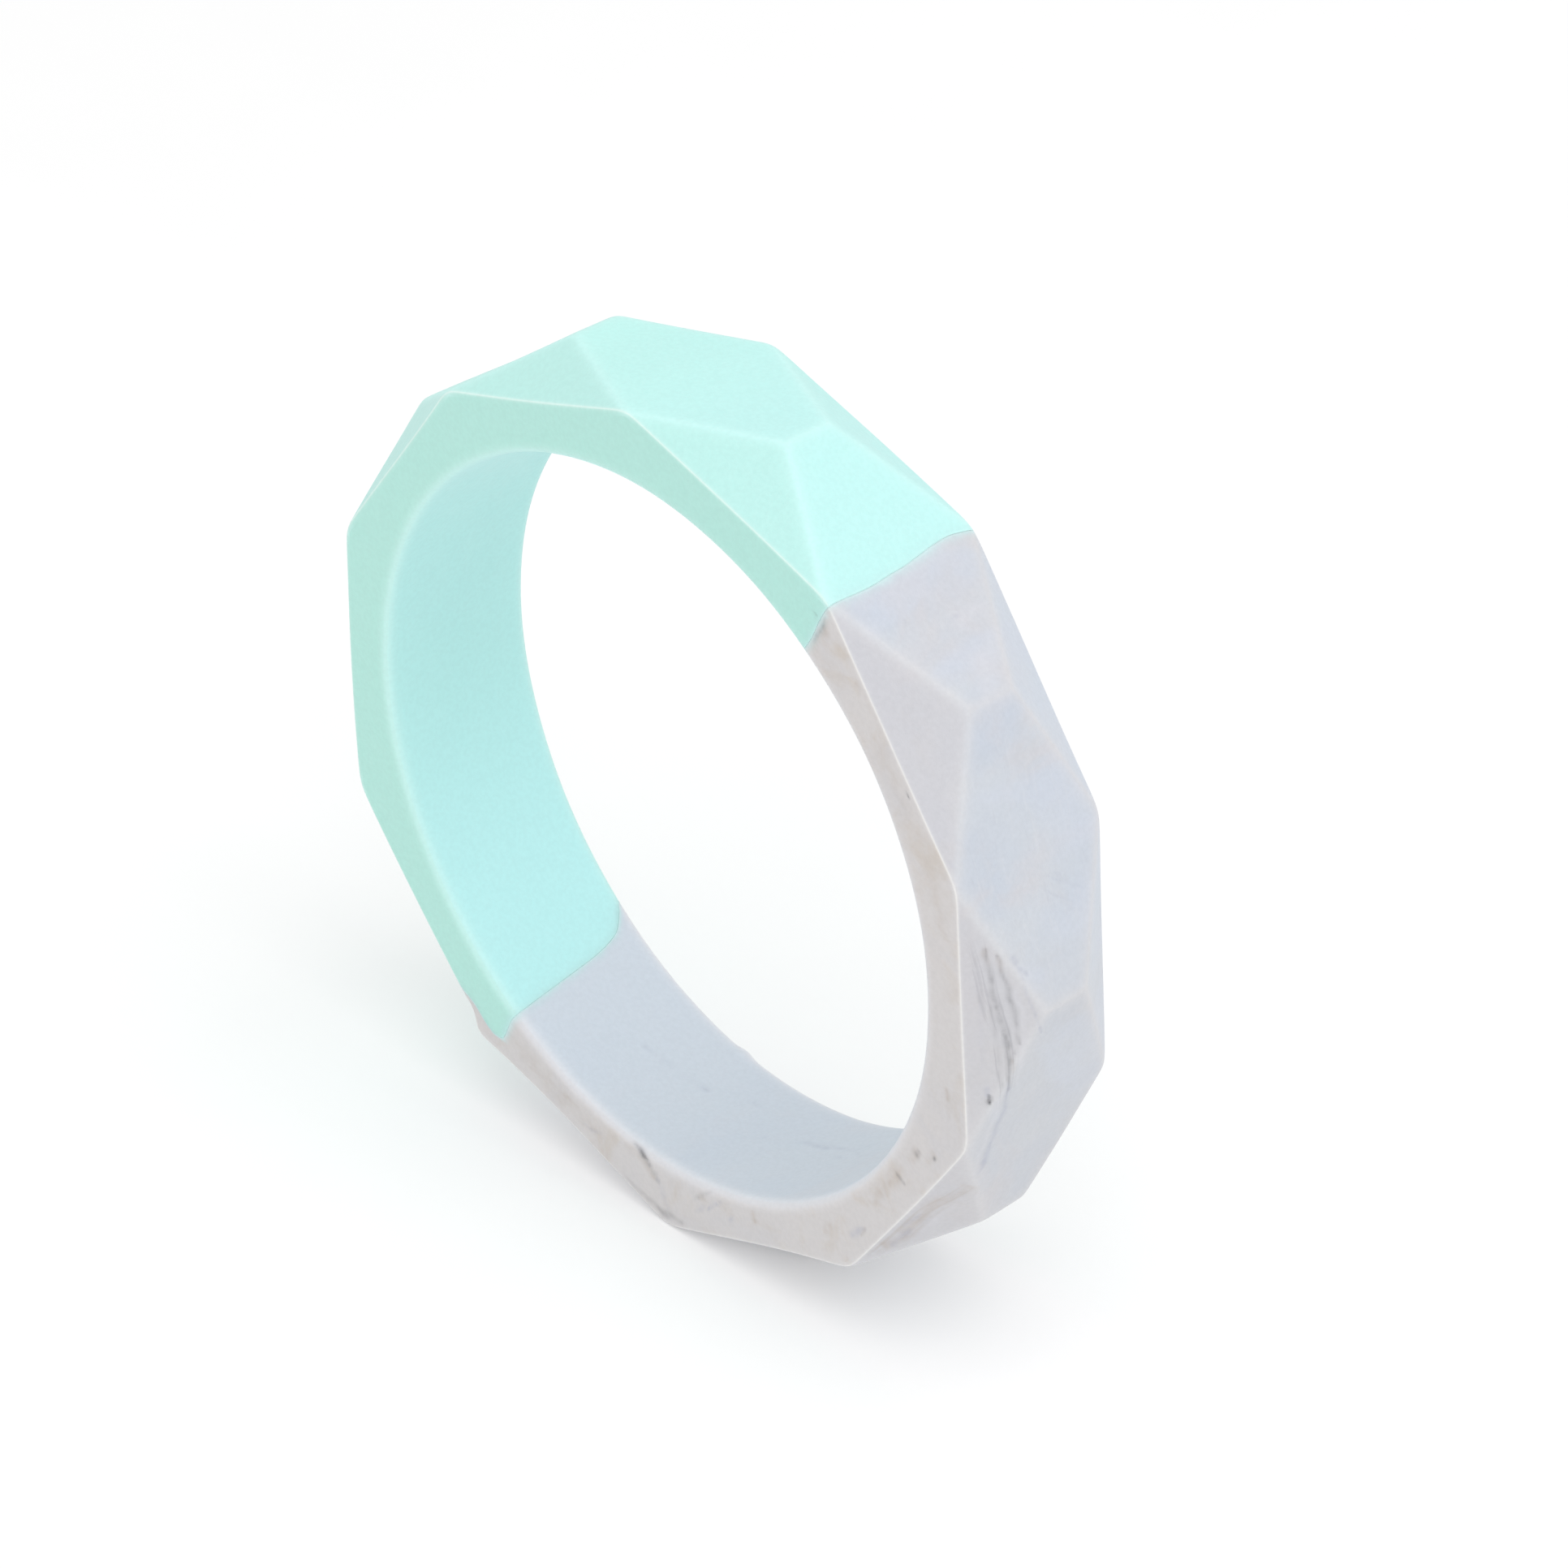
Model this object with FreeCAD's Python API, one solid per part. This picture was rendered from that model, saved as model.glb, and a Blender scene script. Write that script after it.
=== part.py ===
import FreeCAD, Part
import math
import os

# Faceted two-colour silicone teething ring.
# It stands on its lowest facet: +Z is up, the ring's axis runs along Y, the
# front rim faces -Y, and the origin is the middle of the facet it stands on.
# The outside is ten flat hexagons round the ring, joined at each rim by ten
# triangles that slope in to a flat ten-sided rim face.  The bore is round.
# The ring is cast as two halves that are bonded face to face: a plain mint
# half and a marbled half.

# ---- driving dimensions, millimetres -------------------------------------
BORE_D = 65.0            # clear round opening
WIDTH = 15.2             # rim face to rim face
STATIONS = 10            # hexagonal facets round the outside
APEX_R = 41.0            # radius of the short cross ridges between hexagons
RIDGE_L = 4.4            # length of each cross ridge, along the axis
BORE_EDGE_R = 0.9        # rounding of the bore's two edges
FACET_EDGE_R = 0.6       # soft rounding of the edges between facets
JOINT_DEG = 54.0         # the bond plane's angle, from +X towards +Z

# How far the bond strays from its plane, towards the marbled half, at points
# across the width from the front rim to the back rim.
UPPER_JOINT = [(-7.6, 0.00), (-5.4, 0.20), (-2.8, 0.38), (-0.6, 0.08),
               (1.6, -0.10), (3.6, -0.38), (5.4, -0.36), (7.6, 0.05)]
LOWER_JOINT = [(-7.6, 0.78), (-4.4, 0.45), (-1.0, 0.02), (1.9, -0.55),
               (4.0, -1.30), (5.6, -2.30), (7.6, -3.90)]

# ---- derived -------------------------------------------------------------
BORE_R = BORE_D / 2.0
HALF_W = WIDTH / 2.0
STEP = 2.0 * math.pi / STATIONS
RIM_R = APEX_R * math.cos(STEP / 2.0)   # keeps each hexagon flat
AXIS_Z = RIM_R                          # the lowest hexagon lies at Z = 0

V = FreeCAD.Vector


def at(radius, angle, y):
    return V(radius * math.cos(angle), y, AXIS_Z + radius * math.sin(angle))


def flat_face(points):
    """A flat face with its points in the order that turns it outwards."""
    a, b, c = points[:3]
    middle = sum(points, V()) * (1.0 / len(points))
    if (b - a).cross(c - a).dot(middle - V(0, 0, AXIS_Z)) < 0:
        points = points[::-1]
    return Part.Face(Part.makePolygon(points + [points[0]]))


# ---- the outer faceted body ------------------------------------------------
top = math.pi / 2.0
rim = [top + STEP * i for i in range(STATIONS)]
ridge = [a + STEP / 2.0 for a in rim]
front_rim = [at(RIM_R, a, -HALF_W) for a in rim]
back_rim = [at(RIM_R, a, HALF_W) for a in rim]
front_apex = [at(APEX_R, a, -RIDGE_L / 2.0) for a in ridge]
back_apex = [at(APEX_R, a, RIDGE_L / 2.0) for a in ridge]

faces = [flat_face(front_rim), flat_face(back_rim)]
for i in range(STATIONS):
    j, k = (i + 1) % STATIONS, (i - 1) % STATIONS
    faces.append(flat_face([front_rim[i], front_apex[i], back_apex[i],
                            back_rim[i], back_apex[k], front_apex[k]]))
    faces.append(flat_face([front_rim[i], front_rim[j], front_apex[i]]))
    faces.append(flat_face([back_rim[i], back_rim[j], back_apex[i]]))
body = Part.Solid(Part.Shell(faces))
assert body.isValid() and body.isClosed() and body.Volume > 0


def rounded(shape, radius, wanted):
    """The shape with the wanted edges rounded, if the rounding holds."""
    edges = [e for e in shape.Edges if wanted(e)]
    done = shape.makeFillet(radius, edges)
    if done.isValid() and len(done.Solids) == 1:
        return done.Solids[0]
    raise ValueError("rounding failed")


def between_facets(e):
    """True for the soft edges on the outside, away from the rims' outline."""
    ys = [v.Point.y for v in e.Vertexes]
    return not all(abs(abs(y) - HALF_W) < 1e-6 for y in ys)


body = rounded(body, FACET_EDGE_R, between_facets)

# ---- the bore, with both its edges rounded --------------------------------
e = BORE_EDGE_R
bow = e * (1.0 - math.cos(math.pi / 4.0))
OUTSIDE = HALF_W + 5.0


def p(r, y):
    return V(r, y, AXIS_Z)


profile = Part.Wire([
    Part.makeLine(p(0, -OUTSIDE), p(BORE_R + e, -OUTSIDE)),
    Part.makeLine(p(BORE_R + e, -OUTSIDE), p(BORE_R + e, -HALF_W)),
    Part.Arc(p(BORE_R + e, -HALF_W), p(BORE_R + bow, -HALF_W + bow),
             p(BORE_R, -HALF_W + e)).toShape(),
    Part.makeLine(p(BORE_R, -HALF_W + e), p(BORE_R, HALF_W - e)),
    Part.Arc(p(BORE_R, HALF_W - e), p(BORE_R + bow, HALF_W - bow),
             p(BORE_R + e, HALF_W)).toShape(),
    Part.makeLine(p(BORE_R + e, HALF_W), p(BORE_R + e, OUTSIDE)),
    Part.makeLine(p(BORE_R + e, OUTSIDE), p(0, OUTSIDE)),
    Part.makeLine(p(0, OUTSIDE), p(0, -OUTSIDE)),
])
hole = Part.Face(profile).revolve(V(0, 0, AXIS_Z), V(0, 1, 0), 360.0)
ring = body.cut(hole).Solids[0]

# ---- the bond between the two halves -------------------------------------
ja = math.radians(JOINT_DEG)
out = V(math.cos(ja), 0, math.sin(ja))      # along the bond plane, upper joint
side = V(math.sin(ja), 0, -math.cos(ja))    # towards the marbled half
centre = V(0, 0, AXIS_Z)
FAR = 60.0
NEAR = 24.0


def stray(table):
    """The bond's line across the width, run on straight past both rims."""
    pts = [(-HALF_W - 4.0, table[0][1])] + table + [(HALF_W + 4.0, table[-1][1])]
    curve = Part.BSplineCurve()
    curve.interpolate([centre + side * d + V(0, y, 0) for y, d in pts])
    return curve


def block(table, low, high):
    """The mint side of one joint, from low to high along the bond plane."""
    edge = stray(table).toShape()
    a, b = edge.Vertexes[0].Point, edge.Vertexes[-1].Point
    a2 = V(a.x, a.y, a.z) - side * FAR
    b2 = V(b.x, b.y, b.z) - side * FAR
    wire = Part.Wire([edge, Part.makeLine(b, b2), Part.makeLine(b2, a2),
                      Part.makeLine(a2, a)])
    face = Part.Face(wire)
    face.translate(out * low)
    return face.extrude(out * (high - low))


FLAT = [(-HALF_W, 0.0), (0.0, 0.0), (HALF_W, 0.0)]
mint_side = block(UPPER_JOINT, NEAR, FAR).fuse(
    [block(FLAT, -NEAR, NEAR), block(LOWER_JOINT, -FAR, -NEAR)]).removeSplitter()

mint = ring.common(mint_side).removeSplitter()
marble = ring.cut(mint_side).removeSplitter()

os.makedirs("parts", exist_ok=True)
for name, shape in (("mint_half", mint), ("marble_half", marble)):
    assert len(shape.Solids) == 1, (name, len(shape.Solids))
    solid = shape.Solids[0]
    assert solid.isValid() and solid.isClosed(), name
    solid.exportStep("parts/%s.step" % name)
    b = solid.BoundBox
    print(name, "volume %.1f mm3" % solid.Volume,
          "faces", len(solid.Faces),
          "box X %.3f..%.3f Y %.3f..%.3f Z %.3f..%.3f"
          % (b.XMin, b.XMax, b.YMin, b.YMax, b.ZMin, b.ZMax))
print("overlap mm3 %.6f" % mint.common(marble).Volume,
      "whole %.1f" % ring.Volume)
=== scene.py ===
import math

import bpy
import numpy as np
from mathutils import Matrix, Vector


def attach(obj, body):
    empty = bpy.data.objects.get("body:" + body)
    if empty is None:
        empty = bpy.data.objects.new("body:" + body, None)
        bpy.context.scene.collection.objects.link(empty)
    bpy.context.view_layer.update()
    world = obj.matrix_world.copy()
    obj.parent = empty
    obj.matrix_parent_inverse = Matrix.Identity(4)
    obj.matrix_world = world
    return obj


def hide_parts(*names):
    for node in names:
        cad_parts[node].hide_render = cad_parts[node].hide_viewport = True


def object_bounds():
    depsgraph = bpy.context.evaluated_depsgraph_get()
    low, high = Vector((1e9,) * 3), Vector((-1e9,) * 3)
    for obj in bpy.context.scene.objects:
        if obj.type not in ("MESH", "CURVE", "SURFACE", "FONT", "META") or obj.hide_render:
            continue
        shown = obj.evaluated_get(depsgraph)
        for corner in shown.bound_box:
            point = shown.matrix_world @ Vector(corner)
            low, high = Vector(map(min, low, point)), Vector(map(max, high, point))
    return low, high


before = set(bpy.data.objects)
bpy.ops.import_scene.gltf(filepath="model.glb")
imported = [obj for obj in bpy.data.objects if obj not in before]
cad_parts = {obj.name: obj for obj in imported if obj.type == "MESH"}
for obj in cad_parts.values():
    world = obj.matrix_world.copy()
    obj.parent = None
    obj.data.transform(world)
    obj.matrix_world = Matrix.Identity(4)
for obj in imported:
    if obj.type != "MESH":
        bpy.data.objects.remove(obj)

CAD_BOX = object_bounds()

# ---------------------------------------------------------------------------
# The ring's form.  Lengths in millimetres in the ring's own polar frame:
# a is the angle round the axis from +X towards +Z, r the distance from the
# axis, and y the distance along it, with the front rim at -HALF_W.
# ---------------------------------------------------------------------------
BORE_R = 32.5
HALF_W = 7.6
APEX_R = 41.0
HALF_RIDGE = 2.2
RIM_R = APEX_R * math.cos(math.pi / 10)
AXIS_Z = RIM_R
BORE_EDGE = 0.9
SOFT_FACET = 0.15     # softness of the edges between facets
SOFT_RIM = 0.075      # softness of the rims' crisp outline
MID_R = 36.0          # a point inside the section that the rays start from

rim_mid = RIM_R * math.cos(math.pi / 10)
rise, run = APEX_R - rim_mid, HALF_W - HALF_RIDGE
long = math.hypot(rise, run)
TRI_R, TRI_Y = run / long, rise / long
TRI_D = TRI_R * APEX_R + TRI_Y * HALF_RIDGE
PLANES = []           # radial part, its angle, axial part, offset
for k in range(10):
    PLANES.append((1.0, math.radians(90 + 36 * k), 0.0, RIM_R))
    PLANES.append((TRI_R, math.radians(108 + 36 * k), -TRI_Y, TRI_D))
    PLANES.append((TRI_R, math.radians(108 + 36 * k), TRI_Y, TRI_D))
PLANES = np.array(PLANES)


def outline(a, y):
    """The sharp outside's radius at angle a and place y."""
    best = np.full(np.broadcast(a, y).shape, 1e9)
    for nr, ph, ny, d in PLANES:
        c = nr * np.cos(a - ph)
        best = np.where(c > 0.2, np.minimum(best, (d - ny * y) / np.maximum(c, 0.2)), best)
    return best


def solid(a, r, y):
    """Below 0 inside the ring.  Also the slope along r and along y."""
    ca = np.cos(a[..., None] - PLANES[:, 1]) * PLANES[:, 0]
    v = ca * r[..., None] + PLANES[:, 2] * y[..., None] - PLANES[:, 3]
    top = v.max(-1)
    e = np.exp((v - top[..., None]) / SOFT_FACET)
    s = e.sum(-1)
    f = top + SOFT_FACET * np.log(s)
    fr = (e * ca).sum(-1) / s
    fy = (e * PLANES[:, 2]).sum(-1) / s
    crease = (f - top) / (SOFT_FACET * math.log(2.0))
    c = np.abs(y) - HALF_W
    cy = np.sign(y)
    m = np.maximum(f, c)
    ef, ec = np.exp((f - m) / SOFT_RIM), np.exp((c - m) / SOFT_RIM)
    t = ef + ec
    g = m + SOFT_RIM * np.log(t)
    gr, gy = ef / t * fr, ef / t * fy + ec / t * cy
    corner = (g - m) / (SOFT_RIM * math.log(2.0))
    b = BORE_R - r
    pb, pc = np.maximum(b + BORE_EDGE, 0), np.maximum(c + BORE_EDGE, 0)
    ln = np.sqrt(pb * pb + pc * pc) + 1e-12
    inner = np.minimum(np.maximum(b + BORE_EDGE, c + BORE_EDGE), 0)
    h = inner + ln - BORE_EDGE
    both = ln > 1e-6
    hr = np.where(both, -pb / ln, np.where(b > c, -1.0, 0.0))
    hy = np.where(both, pc / ln * cy, np.where(b > c, 0.0, cy))
    use = h > g
    return (np.where(use, h, g), np.where(use, hr, gr), np.where(use, hy, gy),
            crease, corner)


# The real ring is soft, and rests a little out of round: how far its outside
# moves along X and Z, in mm, as waves round the ring.  The bore stays true.
FLEX_X = [0.126, -0.311, 0.236, -0.207, -0.185, 0.286, 0.061, -0.166, -0.207, 0.035, -0.011, 0.126]
FLEX_Z = [0.276, -0.009, -0.052, -0.33, -0.248, -0.081, 0.429, 0.113, -0.229, 0.037, 0.205, -0.075]


def smooth(x):
    x = np.clip(x, 0, 1)
    return x * x * (3 - 2 * x)


def curve(points, x):
    """A smooth line through (x, value) points."""
    px, py = np.array(points, float).T
    m = np.gradient(py, px)
    i = np.clip(np.searchsorted(px, x) - 1, 0, len(px) - 2)
    h = px[i + 1] - px[i]
    t = np.clip((x - px[i]) / h, 0, 1)
    return ((2 * t**3 - 3 * t**2 + 1) * py[i] + (t**3 - 2 * t**2 + t) * h * m[i]
            + (-2 * t**3 + 3 * t**2) * py[i + 1] + (t**3 - t**2) * h * m[i + 1])


def flexed(x, y, z):
    """The same points on the soft ring as it rests."""
    a, r = np.arctan2(z, x), np.hypot(x, z)
    one = np.ones_like(a)
    waves = [one] + [f(k * a) for k in range(1, 5) for f in (np.cos, np.sin)]
    waves += [w * y / HALF_W for w in waves[:3]]
    dx = sum(c * w for c, w in zip(FLEX_X, waves))
    dz = sum(c * w for c, w in zip(FLEX_Z, waves))
    # the foot stays flat on what it stands on
    foot = np.degrees(np.angle(np.exp(1j * (a + math.pi / 2))))
    dz = dz * (1 - np.exp(-(foot / 30.0) ** 2))
    w = smooth((r - 33.0) / 4.0)
    return x + w * dx, z + w * dz


# ---- one turn round the section, as stations that follow its corners --------
def section(fine):
    """(kind, place) stations from the bore's middle over the front rim, the
    outside, the back rim and back to the bore's middle."""
    half = []
    for t in np.linspace(0, 1, int(15 * fine))[:-1]:
        half.append(("bore", t))
    for t in np.linspace(0, 1, 9)[:-1]:
        half.append(("edge", t))
    rim = np.concatenate([np.linspace(0, 0.52, int(6 * fine))[:-1],
                          np.linspace(0.52, 1, int(15 * fine))])
    for t in rim:
        half.append(("rim", t))
    for d in (0.36, 0.25, 0.16, 0.08):
        half.append(("in", d))
    half.append(("in", 0.0))
    for d in (0.08, 0.16, 0.25, 0.36):
        half.append(("out", d))
    for t in np.linspace(0, 1, int(42 * fine))[:-1]:
        half.append(("side", t))
    n = len(half)
    # closer together on the front rim, where the lower bond turns sharply
    first = [k for k, _ in half].index("rim")
    past = first + len(rim)
    front = half[:first] + [("rim", t) for t in np.concatenate([
        rim[rim < 0.70], np.linspace(0.70, 1, int(19 * fine))])] + half[past:]
    st = [(k, t, -1) for k, t in front] + [("side", 1.0, -1)]
    st += [(k, t, 1) for k, t in half[::-1]][:-1]
    return st


STATION_KINDS = {"bore": 0, "edge": 1, "rim": 2, "in": 3, "out": 4, "side": 5}


def aim(a, st):
    """For every angle and every station, a point near the surface."""
    corner = outline(a, np.full_like(a, HALF_W))
    r = np.zeros((len(a), len(st)))
    y = np.zeros_like(r)
    for j, (kind, t, sgn) in enumerate(st):
        if kind == "bore":
            r[:, j], y[:, j] = BORE_R, (HALF_W - BORE_EDGE) * t
        elif kind == "edge":
            w = t * math.pi / 2
            r[:, j] = BORE_R + BORE_EDGE * (1 - math.cos(w))
            y[:, j] = HALF_W - BORE_EDGE * (1 - math.sin(w))
        elif kind == "rim":
            r[:, j] = (BORE_R + BORE_EDGE) * (1 - t) + (corner - 0.5) * t
            y[:, j] = HALF_W
        elif kind == "in":
            r[:, j], y[:, j] = corner - t, HALF_W
        elif kind == "out":
            y[:, j] = HALF_W - t
            r[:, j] = outline(a, y[:, j])
        else:
            y[:, j] = (HALF_W - 0.5) * (1 - t)
            r[:, j] = outline(a, y[:, j])
        y[:, j] *= sgn
    return r, y


def turn(st):
    """How far round the section each station is: 0 at the bore's middle,
    1 at the front bore edge, 2 at the front rim's outline, 3 at the middle of
    the outside, 4 at the back rim's outline, 5 at the back bore edge, 6."""
    out = []
    for kind, t, sgn in st:
        u = {"bore": 0 + t * 0.9, "edge": 0.9 + 0.2 * t, "rim": 1.1 + 0.8 * t,
             "in": 1.9 + 0.1 * (1 - t / 0.45), "out": 2.0 + 0.1 * t / 0.4,
             "side": 2.1 + 0.9 * t}[kind]
        out.append(u if sgn < 0 else 6 - u)
    return np.array(out)


# How far the bond between the halves strays towards the marbled half, by the
# place round the section that turn() gives.
UPPER = [(0.0, 0.10), (0.5, 0.35), (0.9, 0.80), (1.3, 0.88), (1.6, 0.66),
         (1.9, 0.44), (2.0, 0.46), (2.12, 0.44), (2.35, 0.52), (2.6, 0.56),
         (2.8, 0.42), (3.0, 0.34), (3.2, 0.14), (3.45, -0.16), (3.7, -0.22),
         (3.85, 0.02), (4.0, 0.20), (4.4, 0.26), (5.0, 0.1), (5.5, 0.0), (6.0, 0.10)]
LOWER = [(0.0, -0.05), (0.3, 0.28), (0.6, 0.62), (0.9, 0.95), (1.0, 1.02), (1.2, 1.0),
         (1.42, 0.98), (1.60, 0.93), (1.68, 0.80), (1.72, 0.30), (1.76, -0.8), (1.80, -2.2),
         (1.86, -3.5), (1.93, -4.6), (2.0, -5.4),
         (2.1, -5.0), (2.4, -3.8), (2.8, -2.4), (3.2, -1.7), (3.6, -1.9),
         (4.0, -2.8), (4.5, -3.7), (4.9, -4.3), (5.05, -3.9), (5.12, -3.0), (5.25, -1.75),
         (5.45, -0.95), (5.7, -0.42), (6.0, -0.05)]
JOINT_A = math.radians(54.0)
# the line that the marbled half's main streaks follow: angle, place
SPINE = [(-50.0, -6.75), (-44.0, -6.55), (-38.0, -6.45), (-34.5, -6.3), (-30.0, -5.5),
         (-27.0, -5.1), (-24.0, -4.95), (-20.0, -4.72), (-14.0, -4.30), (-11.0, -4.5),
         (-7.4, -4.75), (-5.2, -4.82), (-2.4, -5.0), (0.5, -5.38), (3.4, -5.7),
         (6.3, -5.88), (9.7, -6.2), (14.0, -6.5)]

rng = np.random.RandomState(7)
WAVES = [(rng.randint(2, 15), rng.uniform(0.1, 0.8), rng.uniform(0, 6.28),
          rng.uniform(0, 6.28), rng.uniform(0.3, 1.0)) for _ in range(14)]


def handmade(a, y, r):
    """A few hundredths of a millimetre of unevenness, as cast silicone has."""
    s = np.zeros_like(a)
    for n, q, p1, p2, w in WAVES:
        s += w * np.sin(n * a + p1) * np.cos(q * y + 0.35 * q * r + p2)
    return s * 0.006


def arcs(whole, near, step, windows):
    """Places along a half, near ends first, with finer steps in windows."""
    fine_s = np.linspace(near, whole - near, 20001)
    size = np.full_like(fine_s, step)
    for lo, hi, small in windows:
        w = smooth((fine_s - lo + 3.0) / 3.0) * smooth((hi + 3.0 - fine_s) / 3.0)
        size = np.minimum(size, step + (small - step) * w)
    count = np.concatenate([[0], np.cumsum((fine_s[1] - fine_s[0]) / size[1:])])
    n = int(round(count[-1])) + 1
    return np.interp(np.linspace(0, count[-1], n), count, fine_s)


def make_half(name, side, step, fine, windows=()):
    """side 1 is the mint half, going up and left from the upper joint;
    -1 is the marbled half, going down and right from it."""
    st = section(fine)
    u = turn(st)
    near = np.cumsum([0, .12, .13, .14, .15, .16])
    whole = math.pi * 38.0
    mid = arcs(whole, near[-1], step, windows)
    s = np.concatenate([near[:-1], mid, whole - near[:-1][::-1]])
    a0 = JOINT_A + side * s / 38.0
    du, dl = curve(UPPER, u), curve(LOWER, u)
    fall_u = 1 - smooth(s / 12.0)
    fall_l = 1 - smooth((whole - s) / 14.0)
    # towards the marbled half is backwards along s for mint at the upper joint
    shift = (-fall_u[:, None] * du[None] + fall_l[:, None] * dl[None])
    a = a0[:, None] + shift / 38.0
    if side < 0:
        a = a0[:, None] - (fall_u[:, None] * du[None] - fall_l[:, None] * dl[None]) / 38.0
    rr, yy = np.zeros_like(a), np.zeros_like(a)
    for j0 in range(0, len(s), 200):
        sl = slice(j0, j0 + 200)
        rows = a[sl]
        for j in range(len(st)):
            r1, y1 = aim(rows[:, j], [st[j]])
            rr[sl, j], yy[sl, j] = r1[:, 0], y1[:, 0]
    cr, cy = rr - MID_R, yy
    ln = np.hypot(cr, cy)
    cr, cy = cr / ln, cy / ln
    t = ln + 1.0
    crease = np.zeros_like(a)
    corner = np.zeros_like(a)
    for j0 in range(0, len(s), 120):
        sl = slice(j0, j0 + 120)
        for _ in range(14):
            f, fr, fy, c1, c2 = solid(a[sl], MID_R + t[sl] * cr[sl], t[sl] * cy[sl])
            g = fr * cr[sl] + fy * cy[sl]
            t[sl] = np.maximum(t[sl] - f / np.maximum(g, 0.15), 0.5)
        crease[sl], corner[sl] = c1, c2
    r, y = MID_R + t * cr, t * cy
    f, fr, fy, _, _ = solid(a, r, y)
    # the bond line is a shallow groove, and the cast faces are a little uneven
    from_joint = np.minimum(s, whole - s)
    groove = 0.002 * np.exp(-(from_joint / 0.22) ** 2)[:, None]
    d = handmade(a, y, r) - 0.03 - groove
    # the marbled silicone swells where it wraps over the mint at the lower bond
    turned = np.degrees(np.angle(np.exp(1j * a)))
    d = d + 0.34 * np.exp(-((turned + 127.6) * 0.65 / 1.25) ** 2
                          - ((u[None] - 2.03) / np.where(u < 2.03, 0.20, 0.30)[None]) ** 2)
    d = d - 0.10 * np.exp(-((turned + 130.6) * 0.65 / 1.0) ** 2
                          - ((u[None] - 2.03) / 0.25) ** 2)
    # and a little lump of it stands on the back edge of the bore
    d = d + 0.20 * np.exp(-((turned + 101.2) * 0.57 / 0.9) ** 2
                          - ((u[None] - 5.0) / 0.16) ** 2)
    nl = np.hypot(fr, fy)
    r, y = r + d * fr / nl, y + d * fy / nl
    x, z = r * np.cos(a), r * np.sin(a)
    plain = np.stack([x, y, AXIS_Z + z], -1)
    x, z = flexed(x, y, z)
    co = np.stack([x, y, AXIS_Z + z], -1)
    ns, nj = len(s), len(st)
    verts = co.reshape(-1, 3) / 1000.0
    idx = np.arange(ns * nj).reshape(ns, nj)
    q = np.stack([idx[:-1, :], np.roll(idx, -1, 1)[:-1, :],
                  np.roll(idx, -1, 1)[1:, :], idx[1:, :]], -1).reshape(-1, 4)
    if side > 0:
        q = q[:, ::-1]
    # the two bonded end faces
    ends = []
    extra = []
    for row, flip in ((0, side < 0), (ns - 1, side > 0)):
        ring = idx[row]
        rows = [ring]
        centre = co[row].mean(0)
        for share in (0.6, 0.25):
            pts = centre + (co[row] - centre) * share
            start = len(verts) + len(extra)
            extra.extend(pts / 1000.0)
            rows.append(np.arange(start, start + nj))
        for r0, r1 in zip(rows[:-1], rows[1:]):
            for j in range(nj):
                k = (j + 1) % nj
                face = (r0[j], r0[k], r1[k], r1[j])
                ends.append(face if not flip else face[::-1])
        c = len(verts) + len(extra)
        extra.append(centre / 1000.0)
        for j in range(nj):
            k = (j + 1) % nj
            face = (rows[-1][j], rows[-1][k], c)
            ends.append(face if not flip else face[::-1])
    verts = np.concatenate([verts, np.array(extra)])
    mesh = bpy.data.meshes.new(name)
    mesh.from_pydata(verts.tolist(), [], q.tolist() + [list(map(int, f)) for f in ends])
    mesh.update()
    smooth_flags = np.ones(len(mesh.polygons), bool)
    smooth_flags[len(q):] = False
    mesh.polygons.foreach_set("use_smooth", smooth_flags)
    obj = bpy.data.objects.new(name, mesh)
    bpy.context.scene.collection.objects.link(obj)
    n_extra = len(extra)

    def put(attr, values):
        full = np.concatenate([values, np.zeros((n_extra, 3))])
        full = np.concatenate([full, np.ones((len(full), 1))], 1).astype(np.float32)
        layer = mesh.attributes.new(attr, "FLOAT_COLOR", "POINT")
        layer.data.foreach_set("color", full.ravel())

    uu = np.broadcast_to(u, a.shape)
    outside = (uu > 1.90) & (uu < 4.10)
    in_bore = ((uu < 1.0) | (uu > 5.0)) * 1.0
    edge_b = np.exp(-((np.minimum(np.abs(uu - 1.0), np.abs(uu - 5.0))) / 0.085) ** 2)
    ny = fy / nl
    # facing marks the forward-looking faces and the rims, away the back triangles: masks for painted shade and
    # light
    facing = np.where(ny < 0, -ny, np.where(ny > 0.8, ny, 0.12)) * (1 - in_bore)
    away = np.clip(ny, 0, 1) * (1 - in_bore) * (ny < 0.8)
    # masks for painted highlights along the rims' outline, the bore edges and the facet creases
    put("edges", np.stack([np.clip(corner, 0, 1.2) * outside, edge_b,
                           np.clip(crease, 0, 1.6) * outside], -1).reshape(-1, 3))
    put("parts", np.stack([facing, in_bore,
                           np.broadcast_to(np.exp(-(from_joint / 0.55) ** 2)[:, None],
                                           a.shape)], -1).reshape(-1, 3))
    # how the stirred pigment runs: round the ring, and beside the dark streaks
    deg = np.degrees(a)
    across = y - curve(SPINE, np.clip(deg, -50.0, 14.0))
    streaky = (smooth((deg + 15.0) / 5.0) * smooth((12.0 - deg) / 4.0)
               * smooth((across + 1.25) / 0.6) * smooth((0.95 - across) / 0.6) * (uu > 2) * (uu < 3))
    tanned = (smooth((deg + 52.0) / 5.0) * smooth((-25.5 - deg) / 4.0)
              * smooth((across + 1.1) / 0.5) * smooth((1.2 - across) / 0.8) * (uu > 2) * (uu < 3))
    put("flow", np.stack([across, deg * 0.0665, y], -1).reshape(-1, 3))
    put("bands", np.stack([streaky, tanned, away], -1).reshape(-1, 3))
    return obj, plain, put


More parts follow.
